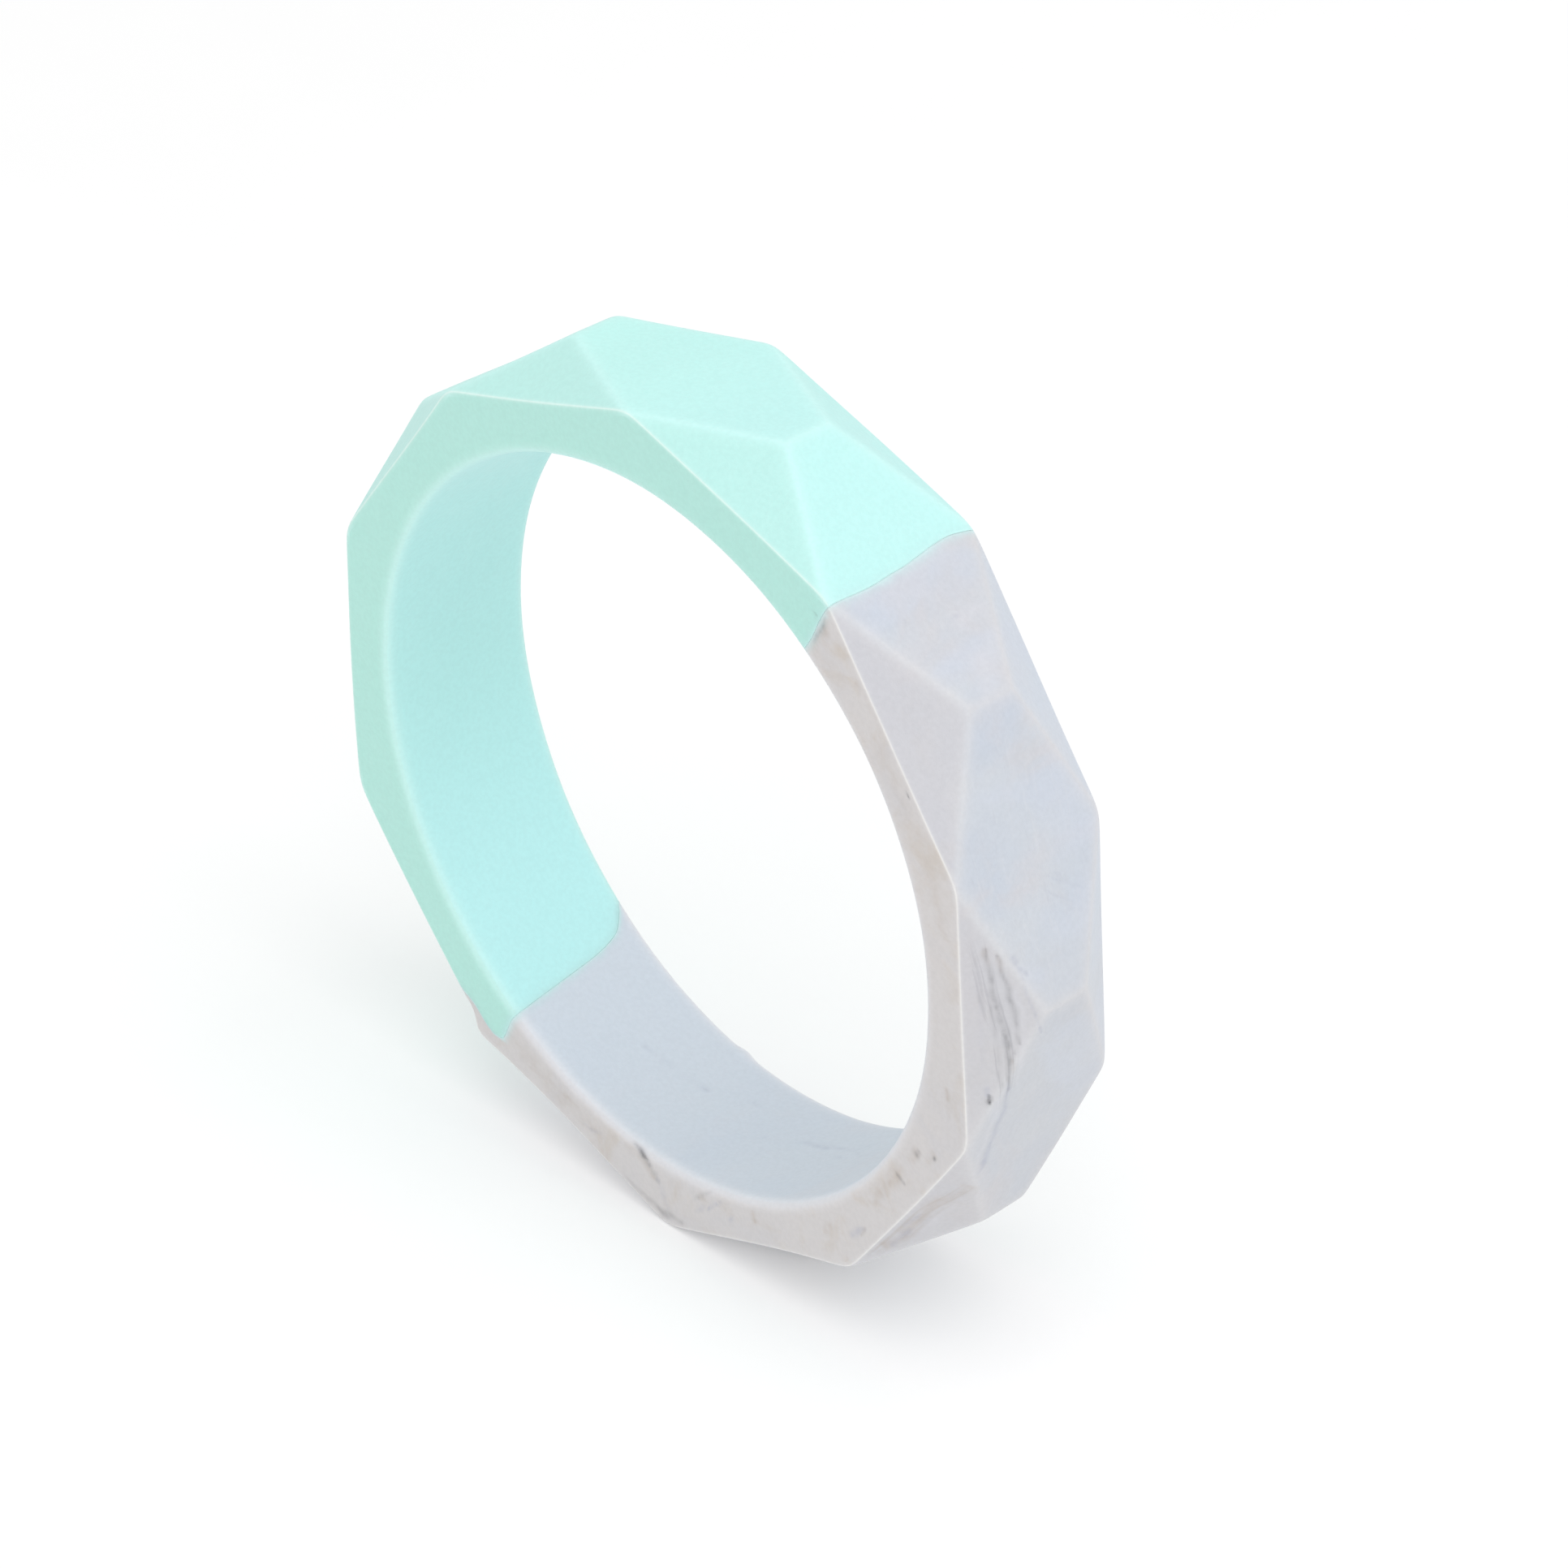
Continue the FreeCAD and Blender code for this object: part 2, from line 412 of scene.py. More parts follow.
mint, mint_co, mint_put = make_half("mint_silicone_half", 1, 0.245, 1.0)
marble, marble_co, marble_put = make_half(
    "marbled_silicone_half", -1, 0.315, 1.0,
    [(29.0, 64.0, 0.165)])

# ---------------------------------------------------------------------------
# The pigment marks in the marbled half: kind, half width in mm, strength, and
# the line's points as angle in degrees, distance from the axis, place along it.
# ---------------------------------------------------------------------------
MARKS = [
    ("dark", 0.26, 0.53, [(9.66, 38.82, -5.97), (6.26, 38.71, -5.67), (3.42, 38.66, -5.52), (0.57, 38.82, -5.21), (-2.3, 39.1, -4.86), (-5.1, 39.34, -4.71), (-7.31, 39.51, -4.69), (-10.85, 39.3, -4.41)]),
    ("dark", 0.20, 0.64, [(1.65, 38.74, -5.34), (-2.3, 39.1, -4.86), (-5.1, 39.34, -4.71), (-7.64, 39.54, -4.69)]),
    ("dark", 0.22, 0.56, [(8.5, 39.23, -5.23), (5.97, 39.28, -4.86), (3.71, 39.34, -4.6), (1.43, 39.47, -4.33), (-1.03, 39.62, -4.12), (-3.84, 39.77, -4.02)]),
    ("dark", 0.17, 0.42, [(4.57, 38.66, -5.6), (1.68, 38.77, -5.29), (-0.84, 38.99, -4.98), (-3.45, 39.31, -4.63), (-5.16, 39.61, -4.34)]),
    ("dark", 0.20, 0.24, [(7.37, 38.78, -5.71), (2.93, 38.53, -5.68), (-0.47, 38.54, -5.59), (-3.87, 38.77, -5.39), (-7.24, 39.06, -5.31), (-10.14, 39.36, -5.13)]),
    ("slate", 0.30, 0.55, [(-9.16, 39.46, -4.64), (-10.85, 39.3, -4.41), (-13.81, 39.1, -4.23), (-16.41, 39.01, -4.49), (-19.05, 39, -4.74), (-21.85, 39.08, -4.84)]),
    ("slate", 0.40, 0.62, [(-20.28, 39.02, -4.73), (-21.85, 39.08, -4.84), (-24.51, 39.25, -5.06)]),
    ("slate", 0.13, 0.38, [(7.48, 39.66, -3.96), (5.98, 39.87, -3.7), (4.27, 40.11, -3.57), (1.36, 40.28, -3.21), (-0.53, 40.51, -2.88), (-3.06, 40.36, -2.16)]),
    ("slate", 0.26, 0.60, [(7.57, 39.65, -3.93), (6.99, 39.73, -3.82)]),
    ("slate", 0.20, 0.42, [(6.2, 39.83, -3.76), (4.9, 40.03, -3.09)]),
    ("slate", 0.13, 0.45, [(-1.57, 40.63, -2.73), (-3.06, 40.36, -2.16)]),
    ("slate", 0.16, 0.14, [(6.52, 38.18, -6.43), (2, 38.01, -6.36), (-3.71, 38.06, -6.36), (-8.24, 38.38, -6.36)]),
    ("pale", 0.34, 0.55, [(3.47, 39.64, -4.17), (0.5, 39.84, -3.8), (-2.48, 39.97, -3.68), (-5.96, 39.87, -3.74), (-10.58, 39.32, -3.51)]),
    ("pale", 0.30, 0.45, [(-10.07, 39.37, -5.03), (-14.13, 39.08, -5.12), (-18.41, 38.99, -5.48), (-22.19, 39.1, -5.79)]),
    ("brown", 0.16, 0.45, [(-5.78, 39.55, -4.48), (-8.29, 39.56, -4.27)]),
    ("brown", 0.30, 0.40, [(9.84, 38.85, -5.96), (7.46, 38.74, -5.77)]),
    ("brown", 0.24, 0.35, [(8.9, 39.21, -5.32), (6.18, 39.27, -4.9)]),
    ("dark", 0.20, 1.60, [(-10.56, 38.85, -6.08), (-11.79, 38.99, -6.11)]),
    ("slate", 0.22, 0.60, [(-9.39, 38.64, -6.17), (-10.78, 38.83, -6.14)]),
    ("brown", 0.85, 0.48, [(-27.45, 39.19, -5.29), (-29.68, 38.77, -5.61), (-31.86, 38.19, -6.22), (-34.55, 37.73, -6.72)]),
    ("brown", 0.78, 0.50, [(-34.89, 37.99, -6.37), (-37.76, 37.85, -6.57), (-42.03, 38.15, -6.43), (-46.88, 38.41, -6.72)]),
    ("slate", 0.26, 0.40, [(-36.22, 37.73, -6.71), (-39.8, 37.64, -6.95)]),
    ("slate", 0.40, 0.42, [(-40.46, 38.09, -6.37), (-45.82, 38.48, -6.45)]),
    ("brown", 0.24, 0.55, [(-11.98, 35.73, -7.6), (-13.25, 36.02, -7.6)]),
    ("brown", 0.40, 0.22, [(-12.66, 35.93, -7.6), (-15.64, 36.39, -7.6)]),
    ("dark", 0.21, 0.92, [(-25.66, 34.95, -7.6), (-27.09, 34.75, -7.6)]),
    ("brown", 0.40, 0.50, [(-25.56, 34.95, -7.6), (-28.51, 34.56, -7.6)]),
    ("dark", 0.17, 0.92, [(-23.94, 36.38, -7.6), (-24.14, 36.36, -7.6)]),
    ("brown", 0.36, 0.36, [(-23.73, 36.2, -7.6), (-25.35, 36.1, -7.6)]),
    ("dark", 0.21, 0.74, [(-33.15, 34.31, -7.6), (-32.96, 34.68, -7.6), (-32.9, 35.3, -7.6)]),
    ("brown", 0.46, 0.55, [(-31.52, 34.56, -7.6), (-34.47, 34.46, -7.6), (-35.94, 34.52, -7.6)]),
    ("brown", 0.24, 0.50, [(-36.95, 34.28, -7.6), (-38.12, 34.87, -7.6)]),
    ("brown", 0.46, 0.40, [(-37.22, 34.56, -7.6), (-41.44, 34.75, -7.6)]),
    ("brown", 0.40, 0.40, [(-55.57, 35.29, -7.6), (-52.62, 35.29, -7.6)]),
    ("slate", 0.42, 0.44, [(-50.12, 36.18, -7.6), (-46.86, 36.36, -7.6)]),
    ("brown", 0.22, 0.42, [(-47.87, 36.59, -7.6), (-46.47, 36.06, -7.6)]),
    ("brown", 0.28, 0.52, [(-70.78, 33.96, -7.6), (-70.99, 34.72, -7.6)]),
    ("slate", 0.24, 0.40, [(-75.8, 34.91, -7.6), (-76.29, 35.33, -7.6)]),
    ("dark", 0.18, 0.34, [(-83.8, 34.66, -7.6), (-81.81, 33.65, -7.6), (-78.89, 32.93, -7.6)]),
    ("brown", 0.32, 0.40, [(-82.96, 34.42, -7.6), (-80.97, 33.91, -7.6)]),
    ("slate", 0.18, 0.50, [(-81.03, 35.19, -7.6), (-79.38, 34.2, -7.6), (-77.4, 33.62, -7.6)]),
    ("slate", 0.24, 0.38, [(-83.55, 35.73, -7.6), (-81.61, 34.82, -7.6)]),
    ("dark", 0.30, 0.95, [(-97.16, 32.6, -7.6), (-95.55, 32.94, -7.6), (-93.8, 33.61, -7.6), (-92.14, 34.3, -7.6)]),
    ("dark", 0.22, 0.75, [(-92.14, 34.3, -7.6), (-91.06, 35.2, -7.6)]),
    ("slate", 0.34, 0.45, [(-91.58, 34.71, -7.6), (-90.37, 36.2, -7.6), (-89.83, 37.28, -7.6)]),
    ("brown", 0.46, 0.60, [(-94.62, 33.51, -7.6), (-92.41, 34.81, -7.6)]),
    ("brown", 0.50, 0.36, [(-98.52, 33.4, -7.6), (-94.54, 33.8, -7.6)]),
    ("brown", 0.42, 0.46, [(-114.26, 34.87, -7.6), (-111.57, 34.68, -7.6), (-108.55, 34.36, -7.6)]),
    ("slate", 0.22, 0.42, [(-107.39, 35.73, -7.6), (-105.67, 35.43, -7.6), (-103.59, 34.79, -7.6)]),
    ("brown", 0.36, 0.38, [(-108.09, 35.94, -7.6), (-104.79, 35.18, -7.6)]),
    ("brown", 0.42, 0.34, [(-118.95, 36.27, -7.6), (-114.26, 34.87, -7.6)]),
    ("dark", 0.40, 0.48, [(-94.03, 37.51, -7.6), (-90.85, 37.89, -7.6), (-86.81, 37.7, -7.6)]),
    ("dark", 0.34, 0.30, [(-97.79, 37.28, -7.6), (-94.03, 37.51, -7.6)]),
    ("dark", 0.24, 0.72, [(52.80, 37.7, -7.6), (52.55, 36.9, -7.6), (52.30, 36.1, -7.6), (52.15, 35.3, -7.6), (52.10, 34.5, -7.6)]),
    ("dark", 0.20, 0.62, [(52.62, 37.2, -7.6), (52.38, 36.4, -7.6), (52.18, 35.6, -7.6)]),
    ("brown", 0.50, 0.50, [(52.2, 37.6, -7.6), (51.8, 36.1, -7.6), (51.8, 34.6, -7.6)]),
    ("dark", 0.11, 1.15, [(29.91, 36.67, -7.6), (29.72, 36.68, -7.6)]),
    ("brown", 1.10, 0.30, [(-124.0, 35.6, -7.6), (-112.0, 35.3, -7.6), (-104.0, 35.0, -7.6)]),
    ("brown", 0.90, 0.22, [(38.0, 35.6, -7.6), (24.0, 36.0, -7.6), (12.0, 36.2, -7.6)]),
    ("brown", 0.20, 0.40, [(44.45, 36.59, -7.6), (43.85, 36.71, -7.6)]),
    ("slate", 0.16, 0.30, [(21.22, 38.67, -7.17), (20.52, 38.85, -7.11)]),
    ("slate", 0.12, 0.30, [(14.1, 39.08, 1.07), (12.25, 39.19, 2.8), (10.56, 39.32, 4.17)]),
    ("slate", 0.11, 0.24, [(14.05, 39.09, 1.9), (10.54, 39.33, 3.73)]),
    ("slate", 0.11, 0.20, [(12.84, 39.15, 0.48), (9.54, 39.42, 3.09)]),
    ("pale", 0.55, 0.50, [(45.12, 39.47, 1.37), (45.3, 39.45, 2.72), (45.28, 39.45, 3.56)]),
    ("slate", 0.14, 0.26, [(45.84, 39.39, 0.52), (45.53, 39.42, 1.98)]),
    ("pale", 0.75, 0.50, [(40.09, 40.17, 1.63), (37.14, 40.74, -0.25)]),
    ("slate", 0.18, 0.42, [(-88.25, 32.5, 1.7), (-74.36, 32.5, 1.97), (-59.3, 32.5, 1.22)]),
    ("slate", 0.22, 0.48, [(-75.85, 32.5, 2.71), (-65.17, 32.5, 2.08)]),
    ("slate", 0.16, 0.40, [(-92, 32.5, 3.4), (-80, 32.5, 3.1), (-66, 32.5, 3.3)]),
    ("slate", 0.16, 0.34, [(-84, 32.5, 0.4), (-68, 32.5, 0.9), (-57, 32.5, 0.2)]),
    ("slate", 0.26, 0.32, [(-112, 32.5, 0.2), (-98, 32.5, 1.6)]),
    ("brown", 0.40, 0.42, [(-28.4, 39.1, -5.35), (-31.5, 38.5, -5.85), (-34.5, 37.9, -6.5)]),
    ("brown", 0.38, 0.40, [(-36.0, 38.0, -6.2), (-40.0, 37.9, -6.35), (-45.0, 38.2, -6.3)]),
    ("slate", 0.20, 0.30, [(-33.0, 38.3, -5.6), (-38.0, 38.2, -5.7), (-43.0, 38.4, -5.7)]),
    ("pale", 0.40, 0.50, [(-31.0, 38.9, -5.0), (-37.0, 38.4, -5.3), (-44.0, 38.6, -5.2)]),
]
KINDS = ("dark", "brown", "slate", "pale")


def ring_point(p):
    a, r, y = math.radians(p[0]), p[1], p[2]
    return np.array([r * math.cos(a), y, AXIS_Z + r * math.sin(a)])


def lines(co, marks, seed=11):
    """How strongly each point carries each kind of mark."""
    flat = co.reshape(-1, 3)
    wob = np.random.RandomState(seed)
    out = {k: np.zeros(len(flat)) for k in KINDS}
    for kind, width, strength, pts in marks:
        pts = np.array([ring_point(p) for p in pts])
        lo, hi = pts.min(0) - 4 * width - 0.4, pts.max(0) + 4 * width + 0.4
        near = np.where(((flat > lo) & (flat < hi)).all(1))[0]
        p1, p2, p3 = wob.uniform(0, 6.28, 3)
        if not len(near):
            continue
        q = flat[near].copy()
        # the line wanders by a fraction of its width, as stirred pigment does
        sway = 0.30 * width
        q[:, 0] += sway * np.sin(3.1 * q[:, 2] + p1 + 1.3 * q[:, 1])
        q[:, 1] += sway * np.sin(2.3 * q[:, 2] + p2)
        q[:, 2] += sway * np.sin(2.7 * q[:, 0] + p3 + 1.9 * q[:, 1])
        best = np.full(len(near), 1e9)
        where = np.zeros(len(near))
        seg = np.linalg.norm(np.diff(pts, axis=0), axis=1)
        along = np.concatenate([[0], np.cumsum(seg)])
        for i in range(len(pts) - 1):
            d = pts[i + 1] - pts[i]
            t = np.clip(((q - pts[i]) @ d) / (d @ d), 0, 1)
            dist = np.linalg.norm(q - pts[i] - t[:, None] * d, axis=1)
            w = dist < best
            best[w], where[w] = dist[w], (along[i] + t[w] * seg[i]) / along[-1]
        # narrower at both ends
        long_one = along[-1] > 4 * width
        wide = width * (0.55 + 0.45 * np.sin(math.pi * np.clip(where, 0.02, 0.98))) if long_one else width
        m = strength * np.exp(-(best / wide) ** 2)
        if long_one:
            m *= 0.82 + 0.18 * np.sin(9.0 * where + p2)
        out[kind][near] = np.maximum(out[kind][near], m)
    return out


marks = lines(marble_co, MARKS)
marble_put("marks", np.stack([marks["dark"], marks["brown"], marks["slate"]], -1))
marble_put("more", np.stack([marks["pale"], np.zeros(len(marks["pale"])),
                             np.zeros(len(marks["pale"]))], -1))
mint_marks = lines(mint_co, [
    ("dark", 0.10, 0.62, [(54.35, 36.85, -7.6), (53.85, 36.9, -7.6)]),
    ("dark", 0.09, 0.40, [(53.9, 36.9, -7.6), (53.7, 36.5, -7.6)]),
    ("dark", 0.20, 0.30, [(53.2, 37.8, -7.6), (52.9, 36.4, -7.6)]),
], 3)
mint_put("marks", np.stack([mint_marks["dark"]] * 3, -1))

# ---------------------------------------------------------------------------
# materials
# ---------------------------------------------------------------------------


def new_material(name):
    m = bpy.data.materials.new(name)
    m.use_nodes = True
    nt = m.node_tree
    nt.nodes.clear()
    out = nt.nodes.new("ShaderNodeOutputMaterial")
    bsdf = nt.nodes.new("ShaderNodeBsdfPrincipled")
    nt.links.new(bsdf.outputs[0], out.inputs[0])
    return m, nt, bsdf


class Net:
    """Short calls for building a node tree."""

    def __init__(self, nt):
        self.nt = nt

    def node(self, kind, **props):
        n = self.nt.nodes.new(kind)
        for k, v in props.items():
            setattr(n, k, v)
        return n

    def link(self, a, b):
        self.nt.links.new(a, b)

    def put(self, sock, v):
        if hasattr(v, "is_output"):
            self.link(v, sock)
        else:
            sock.default_value = v

    def math(self, op, a, b=0.0, c=None, clamp=False):
        n = self.node("ShaderNodeMath", operation=op, use_clamp=clamp)
        self.put(n.inputs[0], a)
        self.put(n.inputs[1], b)
        if c is not None:
            self.put(n.inputs[2], c)
        return n.outputs[0]

    def mix(self, f, a, b, blend="MIX"):
        n = self.node("ShaderNodeMix", data_type="RGBA", blend_type=blend)
        n.clamp_factor = True
        self.put(n.inputs[0], f)
        self.put(n.inputs[6], a)
        self.put(n.inputs[7], b)
        return n.outputs[2]

    def ramp(self, f, stops, interp="LINEAR"):
        n = self.node("ShaderNodeValToRGB")
        n.color_ramp.interpolation = interp
        el = n.color_ramp.elements
        while len(el) > 1:
            el.remove(el[-1])
        el[0].position, el[0].color = stops[0][0], (*stops[0][1], 1) if len(stops[0][1]) == 3 else stops[0][1]
        for p, c in stops[1:]:
            e = el.new(p)
            e.color = (*c, 1)
        self.link(f, n.inputs[0])
        return n.outputs[0]

    def remap(self, f, a, b, c=0.0, d=1.0, smoothly=True):
        n = self.node("ShaderNodeMapRange")
        n.interpolation_type = "SMOOTHSTEP" if smoothly else "LINEAR"
        self.link(f, n.inputs[0])
        for i, v in enumerate((a, b, c, d)):
            n.inputs[i + 1].default_value = v
        return n.outputs[0]

    def noise(self, vec, scale, detail=3.0, rough=0.5, dist=0.0, kind="FBM"):
        n = self.node("ShaderNodeTexNoise")
        n.noise_type = kind
        self.link(vec, n.inputs["Vector"])
        n.inputs["Scale"].default_value = scale
        n.inputs["Detail"].default_value = detail
        n.inputs["Roughness"].default_value = rough
        n.inputs["Distortion"].default_value = dist
        return n.outputs[0]

    def mapping(self, vec, scale=(1, 1, 1), rot=(0, 0, 0), loc=(0, 0, 0)):
        n = self.node("ShaderNodeMapping")
        self.link(vec, n.inputs[0])
        n.inputs["Location"].default_value = loc
        n.inputs["Rotation"].default_value = rot
        n.inputs["Scale"].default_value = scale
        return n.outputs[0]

    def attr(self, name):
        n = self.node("ShaderNodeAttribute", attribute_name=name)
        s = self.node("ShaderNodeSeparateColor")
        self.link(n.outputs["Color"], s.inputs[0])
        return s.outputs[0], s.outputs[1], s.outputs[2]


def srgb(r, g, b):
    """A colour named by its 0-255 screen values, as linear light."""
    def f(v):
        v /= 255.0
        return v / 12.92 if v <= 0.04045 else ((v + 0.055) / 1.055) ** 2.4
    return (f(r), f(g), f(b))


def c4(c):
    return (*c, 1.0)


def silicone_surface(n, bsdf, vec):
    """Fine matte grain, soft moulding waves and their gloss."""
    grain = n.noise(vec, 3400.0, 2.0, 0.6)
    pore = n.noise(vec, 900.0, 3.0, 0.6)
    wave = n.noise(vec, 140.0, 2.0, 0.5)
    b1 = n.node("ShaderNodeBump")
    b1.inputs["Strength"].default_value = 0.10
    b1.inputs["Distance"].default_value = 0.00012
    n.link(grain, b1.inputs["Height"])
    b2 = n.node("ShaderNodeBump")
    b2.inputs["Strength"].default_value = 0.16
    b2.inputs["Distance"].default_value = 0.0003
    n.link(pore, b2.inputs["Height"])
    n.link(b1.outputs[0], b2.inputs["Normal"])
    b3 = n.node("ShaderNodeBump")
    b3.inputs["Strength"].default_value = 0.12
    b3.inputs["Distance"].default_value = 0.0015
    n.link(wave, b3.inputs["Height"])
    n.link(b2.outputs[0], b3.inputs["Normal"])
    n.link(b3.outputs[0], bsdf.inputs["Normal"])
    rough = n.remap(n.noise(vec, 520.0, 3.0, 0.6), 0.3, 0.7, 0.50, 0.62)
    n.link(rough, bsdf.inputs["Roughness"])
    bsdf.inputs["IOR"].default_value = 1.41
    bsdf.inputs["Specular IOR Level"].default_value = 0.5
    bsdf.inputs["Subsurface Weight"].default_value = 0.18
    bsdf.inputs["Subsurface Radius"].default_value = (1.0, 1.0, 1.0)
    bsdf.inputs["Subsurface Scale"].default_value = 0.0012
    bsdf.inputs["Sheen Weight"].default_value = 0.06
    bsdf.inputs["Sheen Roughness"].default_value = 0.5


# ---- mint ---------------------------------------------------------------------
mint_mat, nt, bsdf = new_material("mint_silicone")
n = Net(nt)
tc = n.node("ShaderNodeTexCoord")
vec = tc.outputs["Object"]
corner, bore_edge, crease = n.attr("edges")
facing, in_bore, at_joint = n.attr("parts")
MINT = srgb(191, 241, 234)
place = n.node("ShaderNodeSeparateXYZ")
n.link(vec, place.inputs[0])
dark, _, _ = n.attr("marks")
base = n.mix(n.remap(n.noise(vec, 55.0, 3.0, 0.55, 0.4), 0.35, 0.65),
             c4(tuple(v * 0.982 for v in MINT)), c4(tuple(min(v * 1.014, 1) for v in MINT)))
# the batch is a touch bluer at one end
base = n.mix(n.remap(place.outputs[0], -0.025, 0.024, 0.0, 0.80), base, c4(srgb(192, 238, 236)))
base = n.mix(n.math("MULTIPLY", n.remap(n.noise(vec, 700.0, 2.0, 0.7), 0.55, 0.8), 0.25),
             base, c4(tuple(v * 0.95 for v in MINT)))
# painted shade: the forward-looking triangles darker, and the rims' faces darker and warmer still
base = n.mix(n.remap(facing, 0.35, 0.60, 0.0, 0.60), base, c4(srgb(188, 233, 226)))
base = n.mix(n.remap(facing, 0.80, 0.98, 0.0, 0.80), base, c4(srgb(180, 230, 219)))
# painted shade and light in the bore: cooler and darker overall, greyer high up where it faces down, lighter low
# down where it faces up
base = n.mix(n.math("MULTIPLY", in_bore, 0.75), base, c4(srgb(184, 234, 232)))
base = n.mix(n.math("MULTIPLY", in_bore, n.remap(place.outputs[2], 0.052, 0.076, 0.0, 0.40)), base, c4(srgb(194, 226, 224)))
base = n.mix(n.math("MULTIPLY", in_bore, n.remap(place.outputs[2], 0.040, 0.016, 0.0, 0.90)), base, c4(srgb(194, 243, 243)))
# painted highlights along the facet creases, the bore edge and the rims' outline
base = n.mix(n.math("MULTIPLY", n.math("POWER", crease, 0.6), 0.42), base, c4(srgb(211, 248, 244)))
base = n.mix(n.math("MULTIPLY", bore_edge, 0.50), base, c4(srgb(210, 246, 240)))
base = n.mix(n.math("MULTIPLY", n.math("POWER", corner, 1.15), 0.95, clamp=True), base, c4(srgb(231, 252, 246)))
# a thread of the other colour bleeds into the bond
bleed = n.math("MULTIPLY", at_joint, n.remap(n.noise(vec, 420.0, 3.0, 0.6), 0.35, 0.65, 0.20, 0.60))
base = n.mix(bleed, base, c4(srgb(191, 234, 233)))
# painted light: lighter right beside the bond, where less light scatters back, which would draw a dark line
base = n.mix(n.math("MULTIPLY", n.math("POWER", at_joint, 12.0), 0.65), base, c4(srgb(208, 254, 250)))
base = n.mix(n.math("MULTIPLY", dark, n.remap(n.noise(vec, 1500.0, 2.0, 0.6), 0.3, 0.7, 0.5, 1.0), clamp=True),
             base, c4(srgb(104, 132, 124)))
speck = n.remap(n.noise(vec, 2600.0, 1.0, 0.5), 0.25, 0.75, 0.978, 1.014)
tint = n.node("ShaderNodeCombineColor")
for k in range(3):
    n.link(speck, tint.inputs[k])
base = n.mix(1.0, base, tint.outputs[0], "MULTIPLY")
n.link(base, bsdf.inputs["Base Color"])
silicone_surface(n, bsdf, vec)
mint.data.materials.append(mint_mat)

# ---- marbled --------------------------------------------------------------------
marble_mat, nt, bsdf = new_material("marbled_silicone")
n = Net(nt)
tc = n.node("ShaderNodeTexCoord")
vec = tc.outputs["Object"]
corner, bore_edge, crease = n.attr("edges")
facing, in_bore, at_joint = n.attr("parts")
dark, brown, slate = n.attr("marks")
pale, _, _ = n.attr("more")
COOL, COOLER, ROSE = srgb(202, 207, 214), srgb(195, 202, 213), srgb(205, 203, 207)
WARM, TAN = srgb(213, 209, 208), srgb(202, 192, 182)
swirl = n.mapping(vec, scale=(1.0, 0.7, 1.0), rot=(0.3, 0.2, 0.5))
base = n.mix(n.remap(n.noise(swirl, 62.0, 3.0, 0.5, 0.7), 0.36, 0.64), c4(COOL), c4(COOLER))
base = n.mix(n.math("MULTIPLY", n.remap(n.noise(swirl, 95.0, 4.0, 0.55, 1.1), 0.48, 0.70), 0.75), base, c4(ROSE))
# drawn-out threads of slightly different greys
across, along, side_y = n.attr("flow")
streaky, tanned, away = n.attr("bands")


def flow_vector(kx, ky, kz):
    v = n.node("ShaderNodeCombineXYZ")
    n.link(n.math("MULTIPLY", across, kx), v.inputs[0])
    n.link(n.math("MULTIPLY", along, ky), v.inputs[1])
    n.link(n.math("MULTIPLY", side_y, kz), v.inputs[2])
    return v.outputs[0]


wrap = flow_vector(0.0, 1.6, 1.0)
base = n.mix(n.math("MULTIPLY", n.remap(n.noise(wrap, 1.5, 4.0, 0.62, 0.9), 0.52, 0.72), 0.30), base, c4(srgb(210, 212, 217)))
base = n.mix(n.math("MULTIPLY", n.remap(n.noise(wrap, 2.2, 4.0, 0.66, 1.3), 0.56, 0.74), 0.26), base, c4(srgb(184, 187, 196)))
# painted light: the back-facing triangles lighter and cooler
base = n.mix(n.remap(away, 0.2, 0.55, 0.0, 0.6), base, c4(srgb(206, 214, 224)))
# painted shade: facets that look forward are darker and warmer; the rims warmest, partly pigment and partly painted
# warm light, with tan clouds
base = n.mix(n.remap(facing, 0.30, 0.60, 0.0, 0.72), base, c4(srgb(202, 200, 204)))
base = n.mix(n.remap(facing, 0.80, 0.98, 0.0, 0.88), base, c4(WARM))
cloud = n.remap(n.noise(vec, 210.0, 4.0, 0.6, 0.6), 0.50, 0.74)
base = n.mix(n.math("MULTIPLY", cloud, n.remap(facing, 0.75, 0.98, 0.10, 0.62)), base, c4(TAN))
cloud2 = n.remap(n.noise(vec, 120.0, 3.0, 0.6, 0.5), 0.50, 0.70)
base = n.mix(n.math("MULTIPLY", cloud2, n.remap(facing, 0.75, 0.98, 0.0, 0.45)), base, c4(srgb(204, 203, 207)))
# painted light in the bore: lighter and cooler, and lighter still towards the left, where it faces the light
base = n.mix(n.math("MULTIPLY", in_bore, 0.66), base, c4(srgb(211, 217, 227)))
here = n.node("ShaderNodeSeparateXYZ")
n.link(vec, here.inputs[0])
base = n.mix(n.math("MULTIPLY", in_bore, n.remap(here.outputs[0], 0.004, -0.022, 0.0, 0.6)), base, c4(srgb(214, 221, 231)))
# lower down the marble turns from blue-grey to a plain warm grey
base = n.mix(n.math("MULTIPLY", n.remap(along, 0.9, -0.5, 0.0, 0.40),
                   n.math("MULTIPLY", n.math("SUBTRACT", 1.0, in_bore), n.remap(facing, 0.80, 0.98, 1.0, 0.35))), base, c4(srgb(201, 200, 202)))
# with a few cooler clouds left in it
cool = n.remap(n.noise(swirl, 135.0, 3.0, 0.5, 0.5), 0.47, 0.66)
base = n.mix(n.math("MULTIPLY", n.math("MULTIPLY", cool, n.remap(facing, 0.40, 0.25, 0.0, 0.45)), n.math("SUBTRACT", 1.0, in_bore)), base, c4(srgb(203, 209, 221)))
